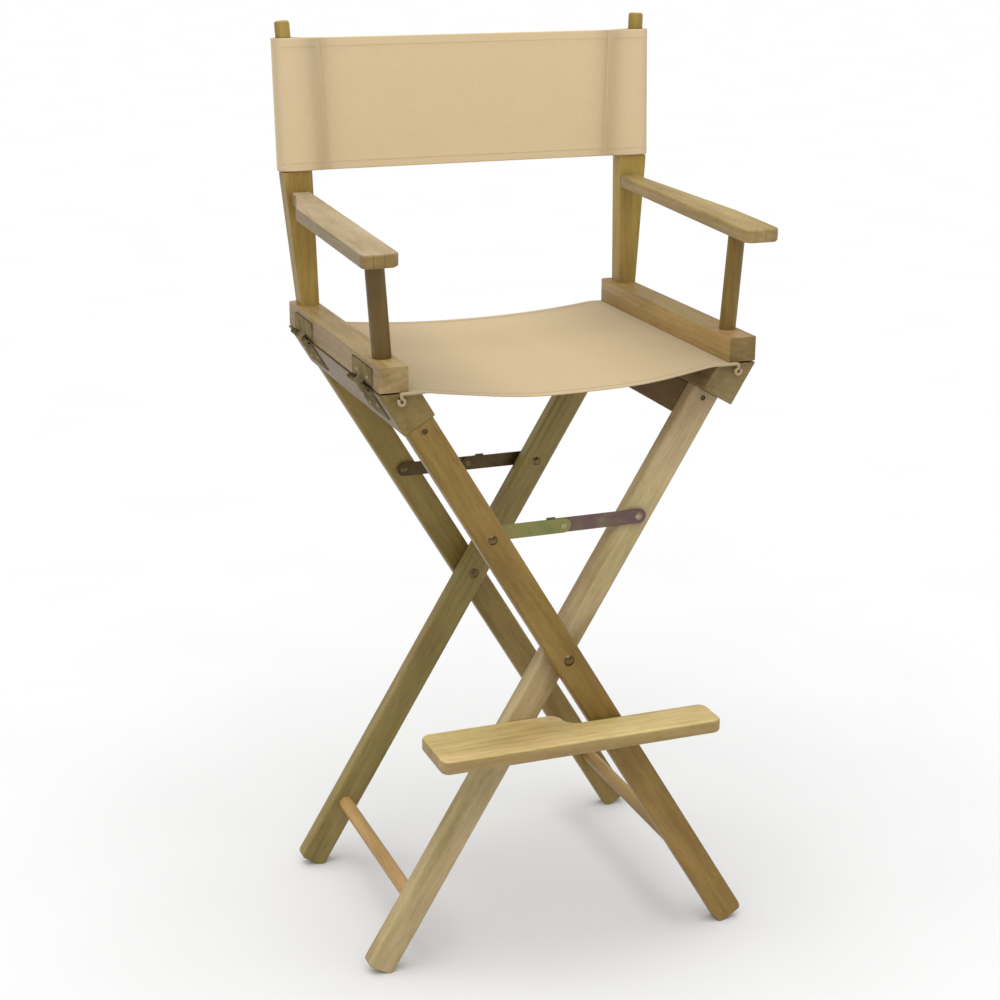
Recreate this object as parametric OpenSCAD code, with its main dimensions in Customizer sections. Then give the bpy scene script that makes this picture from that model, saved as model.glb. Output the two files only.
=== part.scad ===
// Bar-height folding director chair: crossed wooden legs, canvas seat and back, folding arms and footrest.
// Millimetres. +Z up, front faces -Y, +X is the right-hand side seen from the front.

/* [Overall] */
// Half-angle of the crossed legs from vertical when open, degrees
leg_angle = 31; // [30:0.5:32]
// Height of the leg pivots above the floor
pivot_z = 404; // [398:1:410]
// Height of the top face of the seat rails
seat_z = 761; // [755:1:767]
// Height of the back post tips
top_z = 1150; // [1120:5:1180]
// Front to back length of the rails
rail_len = 389; // [380:1:400]

/* [Legs] */
// Width of a leg seen from the front
leg_w = 38; // [34:1:40]
// Thickness of a leg front to back
leg_t = 22; // [20:0.5:23]
// Gap between the two crossed leg planes
leg_gap = 7; // [7:0.5:9]
// Rounding of the long leg edges
leg_r = 4; // [2:0.5:5]
// Rounding of the leg ends that stand on the floor
foot_r = 7; // [4:1:8]
// Diameter of the low stretcher dowels
dowel_d = 19; // [16:1:22]
// Height of the low stretcher dowels
dowel_z = 88; // [80:1:110]

/* [Seat rails] */
// Width of a seat rail's lower face
rail_foot = 44; // [42:1:46]
// Width of an arm rail
arm_rail_w = 35; // [32:1:36]
// Height of an arm rail
arm_rail_h = 30; // [28:1:32]
// Distance of the arm rails' outer faces from the centre
arm_rail_x = 239; // [239:0.5:240]

/* [Arms and back] */
// Width of an armrest
armrest_w = 46; // [40:1:46]
// Thickness of an armrest
armrest_t = 17; // [14:0.5:18]
// Diameter of the front arm posts
front_post_d = 23; // [20:0.5:24]
// Outward lean of the left back post, degrees
lean_l = 3.45; // [2.8:0.05:3.6]
// Outward lean of the right back post, degrees
lean_r = 2.3; // [2:0.05:2.8]
// Backward lean of the back posts, degrees
post_lean_y = 2; // [1:0.1:2.4]
// Height of the canvas back
back_h = 162; // [140:1:165]

/* [Footrest] */
// Height of the footrest's top face
foot_z = 322; // [318:1:326]
// Thickness of the footrest board
foot_t = 18; // [16:0.5:19]
// Half-length of the footrest board
foot_half = 185; // [170:1:195]

/* [Metal] */
// Width of a stay bar
stay_w = 18.5; // [16:0.5:20]
// Height of the front stay above the floor
stay_z = 572; // [562:1:574]
// Height of the rear stay above the floor
stay_zr = 556; // [550:1:570]
// Length of a hinge
hinge_l = 76; // [70:1:80]

/* [Hidden] */
$fn = 48;
e = 0.01;
fit_r = 0.06;
clear = 0.4;
ca = cos(leg_angle);
sa = sin(leg_angle);
ta = tan(leg_angle);
y_front = -rail_len/2 + 29.5;
y_back = y_front + rail_len;
ya = y_front;
yb = ya + leg_t + leg_gap;
yc = y_back - leg_t;
yd = yc - leg_gap - leg_t;
hw = rail_foot/2;
rail_out_l = 60;
w_top = (seat_z - pivot_z + hw*sa)/ca;
wb = w_top - rail_out_l;
w_in = (seat_z - pivot_z - hw*sa)/ca;
stay_x = (stay_z - pivot_z)*ta;
stay_xr = (stay_zr - pivot_z)*ta;
// the rounded foot corner is worn 2 mm flat where it stands
foot_w = -(pivot_z + 2 - (leg_w/2 - foot_r)*sa - foot_r)/ca - foot_r;
bolt_r = 3;
board_h = 42;
board_v0 = -9;
board_v1 = leg_w/2 - 0.5;
groove_x = 214;
groove_z = seat_z - 8.5;
rod_r = 2.75;
cloth = 1.2;
arm_z = seat_z + 2;
rail_top = arm_z + arm_rail_h;
hx = -244;
hz = seat_z + 1;
knuckle_r = 2.8;
pin_r = 1.5;
plate = 1.5;
hinge_y = [-102, 148];
up_screw = [-21, 21];
low_screw = [-25, 19, 33];
post_l_x = 220;
post_r_x = 227;
post_y = 197;
post_d = 24;
post_shoulder = 172;
front_post_l = 220;
front_post_r = 225;
front_post_y = -116;
front_post_lean = 4;
arm_front_y = -175;
arm_front_z = 908;
arm_tilt = 2.27;
arm_l = 372;
arm_in = 214.5;
tongue_w = 26;
tongue_l = 92;
fr_front = -224;
fp_x = -(pivot_z - 281)*ta - 8;
fp_z = 281;
peg_r = 5;
peg_z = foot_z - foot_t - peg_r - 0.3;
peg_x = (pivot_z - peg_z)*ta;
wood = [0.72, 0.58, 0.40];
wood2 = [0.66, 0.52, 0.34];
canvas = [0.82, 0.73, 0.57];
brass = [0.62, 0.55, 0.34];
zinc = [0.66, 0.63, 0.52];

// Which sub-part to draw

// ---------- helpers ----------
module yext(y0, y1) { translate([0, y1, 0]) rotate([90, 0, 0]) linear_extrude(y1 - y0) children(); }
module rrect(w, h, r) {
  square([w - 2*r, h], center = true);
  square([w, h - 2*r], center = true);
  for (x = [-1, 1], y = [-1, 1]) translate([x*(w/2 - r), y*(h/2 - r)]) circle(r);
}
// local frame of the outer frame: +x across the leg to its inner side at the top, +z up the leg
module leg_frame() { translate([0, 0, pivot_z]) rotate([0, -leg_angle, 0]) children(); }
module flip() { mirror([1, 0, 0]) children(); }
module ycyl(r, y0, y1, x = 0, z = 0) { translate([x, y0, z]) rotate([-90, 0, 0]) cylinder(r = r, h = y1 - y0); }
// low dome head whose flat side is at y, bulging to -y
module dome(r, h, x, y, z) {
  rr = (r*r + h*h)/(2*h);
  intersection() {
    translate([x, y - h + rr, z]) sphere(rr, $fn = 64);
    ycyl(r + 1, y - h - 1, y, x, z);
  }
}

// ---------- legs ----------
module leg_2d() {
  translate([-leg_w/2, foot_w + foot_r]) square([leg_w, wb - foot_w]);
  translate([-leg_w/2 + foot_r, foot_w]) square([leg_w - 2*foot_r, foot_r + 1]);
  for (k = [-1, 1]) translate([k*(leg_w/2 - foot_r), foot_w + foot_r]) circle(foot_r);
}
module leg(y0) {
  difference() {
    leg_frame() intersection() {
      translate([0, y0 + leg_t/2, foot_w - 2]) linear_extrude(wb - foot_w + 2) rrect(leg_w, leg_t, leg_r);
      yext(y0 - 1, y0 + leg_t + 1) leg_2d();
    }
    translate([-600, -400, -400]) cube([1200, 800, 400]);
    ycyl(bolt_r, y0 - 1, y0 + leg_t + 1, 0, pivot_z);
  }
}
module leg_front_outer() color(wood) difference() {
  leg(ya);
  ycyl(bolt_r, ya - 1, ya + leg_t + 1, -stay_x, stay_z);
  dowel_hole();
  ycyl(peg_r, ya - 1, ya + 14, peg_x, peg_z);
  board_screw_cut();
}
module leg_rear_outer() color(wood) difference() {
  leg(yc);
  ycyl(7.5, y_back - 6.5, y_back + 1, 0, pivot_z);
  dowel_hole();
  board_screw_cut();
}
module leg_front_inner() color(wood) difference() {
  flip() leg(yb);
  ycyl(bolt_r + fit_r, yb - 1, yb + leg_t + 1, 0, pivot_z);
  flip() dowel_hole_in();
  ycyl(bolt_r, yb - 1, yb + 13, fp_x, fp_z);
  flip() board_screw_cut_in();
}
module leg_rear_inner() color(wood) difference() {
  flip() leg(yd);
  ycyl(bolt_r + fit_r, yd - 1, yd + leg_t + 1, 0, pivot_z);
  ycyl(bolt_r, yd - 1, yd + leg_t + 1, stay_xr, stay_zr);
  flip() dowel_hole_in();
  flip() board_screw_cut_in();
}
// low stretchers, let 10 mm into each leg
dow_x = (pivot_z - dowel_z)*ta;
module dowel_hole() { ycyl(dowel_d/2, ya + leg_t - 10, yc + 10, dow_x, dowel_z); }
module dowel_hole_in() { ycyl(dowel_d/2, yb + leg_t - 10, yd + 10, dow_x, dowel_z); }
module dowel_right() color(wood2) dowel_hole();
module dowel_left() color(wood2) flip() dowel_hole_in();

// ---------- seat rails ----------
module rail_section() difference() {
  intersection() {
    translate([0, pivot_z]) rotate(leg_angle) translate([-hw, wb]) square([2*hw, 120]);
    translate([-400, seat_z - 200]) square([800, 200]);
  }
  translate([-groove_x, groove_z]) circle(4.4);
  translate([-groove_x - 1.3, groove_z]) square([2.6, 40]);
}
module seat_rail() difference() {
  yext(y_front, y_back) rail_section();
  low_screw_shanks();
}
module seat_rail_left() color(wood) seat_rail();
module seat_rail_right() color(wood) flip() seat_rail();
module board(y0, y1) leg_frame() translate([board_v0, y0, wb - board_h]) cube([board_v1 - board_v0, y1 - y0, board_h]);
module top_board_left() color(wood2) difference() { board(ya + leg_t, yc); board_screw_cut(); }
module top_board_right() color(wood2) flip() difference() { board(yb + leg_t, yd); board_screw_cut_in(); }
module bscrew(y) leg_frame() {
  ycyl(1.8, y + 1.5, y + leg_t + 22, 1, wb - 9);
  ycyl(3.6, y + 1.5, y + 4, 1, wb - 9);
}
module bscrew_well(y) leg_frame() {
  ycyl(3.6, y - 1, y + 4, 1, wb - 9);
  ycyl(1.8, y + 1.5, y + leg_t + 22, 1, wb - 9);
}
module ymir(y) translate([0, y, 0]) mirror([0, 1, 0]) translate([0, -y, 0]) children();
ym_out = (y_front + y_back)/2;
module board_screw_cut() { bscrew_well(ya); ymir(ym_out) bscrew_well(ya); }
module board_screw_cut_in() { bscrew_well(yb); ymir(ym_out) bscrew_well(ya + (yb - ya)); }
module board_screws_left() color(brass) { bscrew(ya); ymir(ym_out) bscrew(ya); }
module board_screws_right() color(brass) flip() { bscrew(yb); ymir(ym_out) bscrew(yb); }
module hem_rod() ycyl(rod_r, y_front + 0.5, y_back - 1.5, -groove_x, groove_z);
module hem_rod_left() color(wood2) hem_rod();
module hem_rod_right() color(wood2) flip() hem_rod();

// ---------- pivots ----------
module pivot_bolts() color(brass) {
  dome(7, 3, 0, ya, pivot_z);
  ycyl(bolt_r, ya - 0.2, yb + leg_t + 6, 0, pivot_z);
  dome(7, 3, 0, yd - 0.3, pivot_z);
  ycyl(bolt_r, yd - 0.5, y_back - 0.5, 0, pivot_z);
}
module washer(y0, y1, r) difference() { ycyl(r, y0, y1, 0, pivot_z); ycyl(bolt_r, y0 - 1, y1 + 1, 0, pivot_z); }
module pivot_washers() color(zinc) {
  washer(ya + leg_t, yb - 0.4, 9);
  washer(yd + leg_t + 0.4, yc, 9);
}
module nut(y0, y1) translate([0, y1, pivot_z]) rotate([90, 0, 0]) difference() {
  cylinder(r = 6.4, h = y1 - y0, $fn = 6);
  translate([0, 0, -1]) cylinder(r = bolt_r, h = y1 - y0 + 2);
}
module pivot_nuts() color(zinc) {
  nut(yb + leg_t + 0.4, yb + leg_t + 5.4);
  nut(y_back - 6, y_back - 1);
}

// ---------- stays ----------
bar_t = 1.5;
fy1 = ya + leg_t + 0.8;
fy2 = fy1 + bar_t + 0.3;
ry1 = yd + leg_t + 0.8;
ry2 = ry1 + bar_t + 0.3;
mid_x = 0;
// bar from x0 to x1 at height z, holes at both ends
module bar2d(x0, x1, r0, r1, z) difference() {
  union() {
    translate([x0, z - stay_w/2]) square([x1 - x0, stay_w]);
    translate([x0, z]) circle(stay_w/2);
    translate([x1, z]) circle(stay_w/2);
  }
  translate([x0, z]) circle(r0);
  translate([x1, z]) circle(r1);
}
// short tail past the middle pivot, with a stop tab folded over the other bar's top edge
tail = 22;
module tail2d(z) translate([-tail, z - stay_w/2]) square([tail, stay_w]);
module tab(y0, y1, z) translate([-tail, y0, z + stay_w/2 + 0.4]) cube([11, y1 - y0, 1.5]);
module tab_web(y0, y1, z) translate([-tail, y0, z + stay_w/2 - 1]) cube([11, y1 - y0, 2.9]);
module bar_b(y, yt, z, xe) {
  yext(y, y + bar_t) difference() {
    union() { bar2d(mid_x, xe, 2.06, 2, z); tail2d(z); }
    translate([mid_x, z]) circle(2.06);
  }
  tab(yt, y + bar_t, z);
  tab_web(y, y + bar_t, z);
}
module stay_front_a() color(zinc) {
  yext(fy1, fy1 + bar_t) bar2d(-stay_x, mid_x, bolt_r + fit_r, 2, stay_z);
}
module stay_front_b() color(zinc) bar_b(fy2, fy1, stay_z, stay_x);
module mid_rivet(y1, y2, x, z) {
  ycyl(2, y1 - 0.3, y2 + bar_t + 0.3, x, z);
  ycyl(4, y1 - 0.5, y1, x, z);
  ycyl(4, y2 + bar_t + 0.2, y2 + bar_t + 1.2, x, z);
}
module stay_front_rivet() color(brass) mid_rivet(fy1, fy2, mid_x, stay_z);
module stay_front_end_rivet() color(brass) {
  dome(4.6, 1.2, stay_x, fy2, stay_z);
  ycyl(2, fy2 - 0.3, yb - 0.4, stay_x, stay_z);
}
module stay_rear_a() color(zinc) yext(ry1, ry1 + bar_t) bar2d(mid_x, stay_xr, 2, bolt_r + fit_r, stay_zr);
module stay_rear_b() color(zinc) flip() bar_b(ry2, ry1, stay_zr, stay_xr);
module stay_rear_rivet() color(brass) mid_rivet(ry1, ry2, mid_x, stay_zr);
module stay_rear_end_rivet() color(brass) {
  dome(4.6, 1.2, -stay_xr, ry2, stay_zr);
  ycyl(2, ry2 - 0.3, yc - 0.4, -stay_xr, stay_zr);
}
module stay_bolt(x, y, yb1, z) {
  dome(6, 2.6, x, y, z);
  ycyl(bolt_r, y - 0.2, yb1 + bar_t + 0.2, x, z);
  ycyl(4.6, yb1 + bar_t + 0.15, yb1 + bar_t + 1.2, x, z);
}
module stay_bolt_front() color(brass) stay_bolt(-stay_x, ya, fy1, stay_z);
module stay_bolt_rear() color(brass) stay_bolt(stay_xr, yd, ry1, stay_zr);

// ---------- hinges, drawn for the left side ----------
kn = hinge_l/3;
module leaf_up_one(y) difference() {
  union() {
    translate([-arm_rail_x - plate, y - hinge_l/2, arm_z + 1.5]) cube([plate, hinge_l, 22]);
    yext(y - kn/2 + clear/2, y + kn/2 - clear/2) {
      translate([hx, hz]) circle(knuckle_r);
      polygon([[-arm_rail_x, arm_z + 6], [-arm_rail_x - plate, arm_z + 6], [hx - 1.9, hz + 2], [hx + 1.5, hz + 0.5], [-arm_rail_x, arm_z + 2.5]]);
    }
  }
  ycyl(pin_r + fit_r, y - 50, y + 50, hx, hz);
  for (s = up_screw) translate([-arm_rail_x + 5, y + s, arm_z + 11]) rotate([0, -90, 0]) cylinder(r = 1.5, h = 20);
}
module hinge_leaf_up() for (y = hinge_y) leaf_up_one(y);
module up_screw_one() { rotate([0, -90, 0]) cylinder(r = 1.5, h = plate + 11); }
module xdome(r, h) {
  rr = (r*r + h*h)/(2*h);
  intersection() { translate([rr - h, 0, 0]) sphere(rr, $fn = 64); rotate([0, -90, 0]) cylinder(r = r + 1, h = h + 1); }
}
module up_screw_shanks() for (y = hinge_y, s = up_screw) translate([-arm_rail_x + 11, y + s, arm_z + 11]) up_screw_one();
module hinge_screws_up() for (y = hinge_y, s = up_screw) {
  translate([-arm_rail_x + 11, y + s, arm_z + 11]) up_screw_one();
  translate([-arm_rail_x - plate, y + s, arm_z + 11]) xdome(3.2, 1.3);
}
kv = hx*ca + (hz - pivot_z)*sa;
kw = -hx*sa + (hz - pivot_z)*ca;
low_w = [w_top - 24, w_top - 33, w_top - 24];
module leaf_low_one(y) leg_frame() difference() {
  union() {
    translate([-hw - plate, y - hinge_l/2, w_top - 42]) cube([plate, hinge_l, 39]);
    for (k = [-1, 1]) yext(y + k*kn - kn/2 + clear/2, y + k*kn + kn/2 - clear/2) {
      translate([kv, kw]) circle(knuckle_r);
      polygon([[-hw, w_top - 6], [-hw - plate, w_top - 6], [kv - 2, kw - 1.9], [kv + 1.6, kw - 1.6], [-hw, w_top - 1.4]]);
    }
  }
  ycyl(pin_r, y - 50, y + 50, kv, kw);
  for (i = [0:2]) translate([-hw + 5, y + low_screw[i], low_w[i]]) rotate([0, -90, 0]) cylinder(r = 1.5, h = 20);
}
module hinge_leaf_low() for (y = hinge_y) leaf_low_one(y);
module low_screw_shanks() leg_frame() for (y = hinge_y, i = [0:2]) translate([-hw + 11, y + low_screw[i], low_w[i]]) up_screw_one();
module hinge_screws_low() {
  low_screw_shanks();
  leg_frame() for (y = hinge_y, i = [0:2]) translate([-hw - plate, y + low_screw[i], low_w[i]]) xdome(3.2, 1.3);
}
module hinge_pins() for (y = hinge_y) ycyl(pin_r, y - hinge_l/2 - 1, y + hinge_l/2 + 1, hx, hz);
module hinge_leaf_low_left() color(brass) hinge_leaf_low();
module hinge_leaf_low_right() color(brass) flip() hinge_leaf_low();
module hinge_pins_left() color(zinc) hinge_pins();
module hinge_pins_right() color(zinc) flip() hinge_pins();
module hinge_screws_low_left() color(zinc) hinge_screws_low();
module hinge_screws_low_right() color(zinc) flip() hinge_screws_low();
module hinge_leaf_up_left() color(brass) hinge_leaf_up();
module hinge_leaf_up_right() color(brass) flip() hinge_leaf_up();
module hinge_screws_up_left() color(zinc) hinge_screws_up();
module hinge_screws_up_right() color(zinc) flip() hinge_screws_up();

// ---------- arms, drawn for the right side ----------
module arm_rail() difference() {
  translate([arm_rail_x - arm_rail_w, y_front, arm_z]) cube([arm_rail_w, rail_len, arm_rail_h]);
  flip() up_screw_shanks();
}
module back_frame() translate([0, post_y, rail_top]) rotate([-post_lean_y, 0, 0]) children();
module post_lean(px, ln) translate([px, 0, 0]) rotate([0, ln, 0]) children();
post_l = (top_z - rail_top)/cos(post_lean_y);
module post_outline() polygon([[-12, -8], [12, -8], [12, 0], [18.5, post_shoulder - 8], [18.5, post_shoulder], [-18.5, post_shoulder],
  [-18.5, post_shoulder - 8], [-12, 0]]);
// round tip that the canvas sleeve slips over
tip_r = 9.5;
module post_tip(h) rotate_extrude() polygon([[0, 0], [tip_r, 0], [tip_r, h - 3], [tip_r - 0.9, h - 0.9], [tip_r - 3, h], [0, h]]);
module back_post(px, ln) difference() {
  back_frame() post_lean(px, ln) {
    yext(-post_d/2, post_d/2) post_outline();
    translate([0, 0, post_shoulder - 4]) post_tip(post_l/cos(ln) - 0.55 - post_shoulder + 4);
  }
  translate([0, 0, rail_top - 50]) cube([400, 400, 50]);
}
module arm_plane() translate([0, arm_front_y, arm_front_z]) rotate([arm_tilt, 0, 0]) children();
module front_post(fx, d) difference() {
  translate([fx, front_post_y, rail_top]) rotate([0, front_post_lean, 0]) translate([0, 0, -10]) cylinder(d = d, h = 140);
  translate([100, -300, rail_top - 50]) cube([300, 300, 50]);
  arm_plane() translate([100, -100, 0]) cube([300, 500, 200]);
}
// taper is where the outer edge starts to draw in
module armrest_2d(taper) difference() {
  // full width at the hand end, drawn in to a narrow tongue where it meets the back post
  offset(r = 6) offset(delta = -6) polygon([[arm_in, -20], [arm_in + armrest_w, -20], [arm_in + armrest_w, taper],
    [arm_in + tongue_w, arm_l - 27], [arm_in + tongue_w, arm_l + 8], [arm_in, arm_l + 8]]);
  translate([arm_in - 5, -30]) square([armrest_w + 10, 30]);
  translate([arm_in - 5, arm_l]) square([armrest_w + 10, 30]);
  // clipped inner corner and eased outer corner at the front
  translate([arm_in, 0]) rotate(45) square([11, 11], center = true);
  translate([arm_in + armrest_w, 0]) rotate(45) square([8, 8], center = true);
}
module armrest(px, ln, taper) difference() {
  arm_plane() linear_extrude(armrest_t) armrest_2d(taper);
  back_frame() post_lean(px, ln) translate([-30, -post_d/2, 0]) cube([60, 80, 300]);
}
module arm_rail_right() color(wood) arm_rail();
module arm_rail_left() color(wood) flip() arm_rail();
module back_post_right() color(wood2) back_post(post_r_x, lean_r);
module back_post_left() color(wood2) flip() back_post(post_l_x, lean_l);
module front_post_right() color(wood2) front_post(front_post_r, front_post_d - 2.5);
module front_post_left() color(wood2) flip() front_post(front_post_l, front_post_d);
module armrest_right() color(wood) armrest(post_r_x, lean_r, 110);
module armrest_left() color(wood) flip() armrest(post_l_x, lean_l, arm_l - tongue_l - 10);

// ---------- footrest ----------
fr_gap = 3.6;
sr = (yb - 0.3 - (ya - fr_gap))/2;
fr_s = -18;
module footrest_2d() {
  yl = yb - 0.3;
  ys = ya - fr_gap;
  difference() {
    union() {
      translate([-foot_half, fr_front]) square([foot_half + fr_s, yl - fr_front]);
      translate([-30, fr_front]) square([foot_half + 30, ys - fr_front]);
      translate([fr_s, yl - sr]) circle(sr);
      difference() {
        translate([fr_s, ys - 1]) square([2*sr, sr + 1]);
        translate([fr_s + 2*sr, ys + sr]) circle(sr);
      }
    }
    for (c = [[-foot_half, fr_front, 0], [foot_half, fr_front, 90], [foot_half, ys, 180], [-foot_half, yl, 270]])
      translate([c[0], c[1]]) rotate(c[2]) difference() {
        translate([-1, -1]) square([13, 13]);
        translate([12, 12]) circle(12);
      }
  }
}
module fr_screw(x, y) translate([x, y, foot_z - foot_t - 2]) {
  cylinder(r = 1.6, h = 14);
  translate([0, 0, -1.2]) cylinder(r = 3.2, h = 1.2);
}
fr_sc = [[fp_x - 10, yb - 24], [fp_x + 14, yb - 24]];
module footrest_board() color(wood) difference() {
  translate([0, 0, foot_z - foot_t]) linear_extrude(foot_t) footrest_2d();
  for (s = fr_sc) fr_screw(s[0], s[1]);
}
module footrest_bracket() color(zinc) difference() {
  union() {
    translate([fp_x - 18, yb - 32, foot_z - foot_t - 2]) cube([40, 31.6, 2]);
    yext(yb - 2.4, yb - 0.4) {
      translate([fp_x - 7, fp_z]) square([14, foot_z - foot_t - 2 - fp_z]);
      translate([fp_x, fp_z]) circle(7);
    }
  }
  ycyl(bolt_r + fit_r, yb - 10, yb + 2, fp_x, fp_z);
  for (s = fr_sc) fr_screw(s[0], s[1]);
}
module footrest_screws() color(zinc) for (s = fr_sc) fr_screw(s[0], s[1]);
module footrest_bolt() color(brass) {
  dome(5.5, 2.2, fp_x, yb - 2.8, fp_z);
  ycyl(bolt_r, yb - 3, yb + 12, fp_x, fp_z);
}
module footrest_peg() color(zinc) ycyl(peg_r, ya - 24, ya + 14, peg_x, peg_z);

// ---------- canvas ----------
sag = 14;
half_c = 186;
sag_r = (half_c*half_c + sag*sag)/(2*sag);
cz = seat_z + 1;
module seat_2d() {
  intersection() {
    difference() {
      translate([0, cz - sag + sag_r]) circle(sag_r + cloth/2, $fn = 720);
      translate([0, cz - sag + sag_r]) circle(sag_r - cloth/2, $fn = 720);
    }
    translate([-half_c, cz - 60]) square([2*half_c, 70]);
  }
  for (s = [-1, 1]) {
    translate([s > 0 ? half_c - 1.5 : -groove_x - cloth/2, cz - cloth/2]) square([groove_x - half_c + cloth/2 + 1.5, cloth]);
    translate([s*groove_x - cloth/2, groove_z + 3.4]) square([cloth, cz - groove_z - 3.4]);
    translate([s*groove_x, groove_z]) difference() { circle(4.0); circle(rod_r + 0.15); }
  }
}
module seat_canvas() color(canvas) yext(y_front + 1.5, y_back - 2.5) seat_2d();
sz0 = post_shoulder + 1;
module sleeve(px, ln) post_lean(px, ln) translate([0, 0, sz0]) linear_extrude(back_h) difference() {
  square([25.4, 24.4], center = true);
  square([23, 22], center = true);
}
function edge_x(px, ln, h) = px + h*tan(ln) - 8;
module back_canvas() color(canvas) back_frame() {
  sleeve(post_r_x, lean_r);
  flip() sleeve(post_l_x, lean_l);
  yext(-12, -11.2) polygon([
    [-edge_x(post_l_x, lean_l, sz0), sz0 + 1], [edge_x(post_r_x, lean_r, sz0), sz0 + 1],
    [edge_x(post_r_x, lean_r, sz0 + back_h), sz0 + back_h - 1], [-edge_x(post_l_x, lean_l, sz0 + back_h), sz0 + back_h - 1]]);
}

// ---------- draw ----------
leg_front_outer();
leg_rear_outer();
seat_rail_left();
top_board_left();
dowel_right();
pivot_bolts();
pivot_washers();
pivot_nuts();
stay_bolt_front();
board_screws_left();
hem_rod_left();
hinge_leaf_low_left();
hinge_pins_left();
hinge_screws_low_left();
footrest_peg();
leg_front_inner();
leg_rear_inner();
seat_rail_right();
top_board_right();
dowel_left();
stay_bolt_rear();
board_screws_right();
hem_rod_right();
hinge_leaf_low_right();
hinge_pins_right();
hinge_screws_low_right();
footrest_bolt();
arm_rail_left();
back_post_left();
front_post_left();
armrest_left();
hinge_leaf_up_left();
hinge_screws_up_left();
arm_rail_right();
back_post_right();
front_post_right();
armrest_right();
hinge_leaf_up_right();
hinge_screws_up_right();
footrest_board();
footrest_bracket();
footrest_screws();
stay_front_a();
stay_front_b();
stay_front_rivet();
stay_front_end_rivet();
stay_rear_a();
stay_rear_b();
stay_rear_rivet();
stay_rear_end_rivet();
seat_canvas();
back_canvas();
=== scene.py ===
import math
import bpy
import bmesh
from mathutils import Vector, Matrix, noise
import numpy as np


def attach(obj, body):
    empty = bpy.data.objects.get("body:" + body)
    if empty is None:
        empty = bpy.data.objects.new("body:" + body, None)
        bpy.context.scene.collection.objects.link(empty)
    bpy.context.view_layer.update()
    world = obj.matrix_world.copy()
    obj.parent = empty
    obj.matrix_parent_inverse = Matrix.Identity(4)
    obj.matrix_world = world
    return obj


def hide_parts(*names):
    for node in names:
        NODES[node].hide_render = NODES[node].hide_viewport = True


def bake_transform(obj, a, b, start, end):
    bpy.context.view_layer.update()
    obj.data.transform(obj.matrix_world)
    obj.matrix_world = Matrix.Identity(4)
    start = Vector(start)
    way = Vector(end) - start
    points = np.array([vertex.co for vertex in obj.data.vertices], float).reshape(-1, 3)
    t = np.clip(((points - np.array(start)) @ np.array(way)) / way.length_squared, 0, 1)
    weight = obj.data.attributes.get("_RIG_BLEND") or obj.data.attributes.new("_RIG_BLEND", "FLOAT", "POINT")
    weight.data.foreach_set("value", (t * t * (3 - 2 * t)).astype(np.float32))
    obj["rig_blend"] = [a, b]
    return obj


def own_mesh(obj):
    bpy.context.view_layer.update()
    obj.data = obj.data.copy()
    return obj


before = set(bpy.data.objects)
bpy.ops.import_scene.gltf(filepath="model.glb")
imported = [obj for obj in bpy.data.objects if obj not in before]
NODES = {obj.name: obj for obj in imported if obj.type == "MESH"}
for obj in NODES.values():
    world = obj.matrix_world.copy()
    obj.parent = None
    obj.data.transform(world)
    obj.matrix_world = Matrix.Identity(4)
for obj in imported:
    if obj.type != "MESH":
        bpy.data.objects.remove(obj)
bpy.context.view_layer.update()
SC = bpy.context.scene
MM = 0.001
rad = math.radians


# ------------------------------------------------------------------ camera
AZ, EL, ROLL, DIST, FOC = -21.05, 17.68, 0.28, 2.5693, 1993.0
TARGET = Vector((-0.0169, 0.030, 0.5547))
SHIFT = (0.0, 0.0)
back = Vector((math.sin(rad(AZ)) * math.cos(rad(EL)), -math.cos(rad(AZ)) * math.cos(rad(EL)), math.sin(rad(EL))))
right = (-back).cross(Vector((0, 0, 1))).normalized()
up = right.cross(-back).normalized()
cr, sr_ = math.cos(rad(ROLL)), math.sin(rad(ROLL))
cam_x = right * cr + up * sr_
cam_y = up * cr - right * sr_
cam = bpy.data.objects.new("camera", bpy.data.cameras.new("camera"))
SC.collection.objects.link(cam)
m = Matrix((cam_x, cam_y, back)).transposed().to_4x4()
m.translation = TARGET + back * DIST
cam.matrix_world = m
cam.data.sensor_fit = "HORIZONTAL"
cam.data.sensor_width = 36
cam.data.lens = FOC * 36 / 1000
cam.data.shift_x, cam.data.shift_y = SHIFT
cam.data.clip_start, cam.data.clip_end = 0.05, 200
SC.camera = cam


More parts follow.
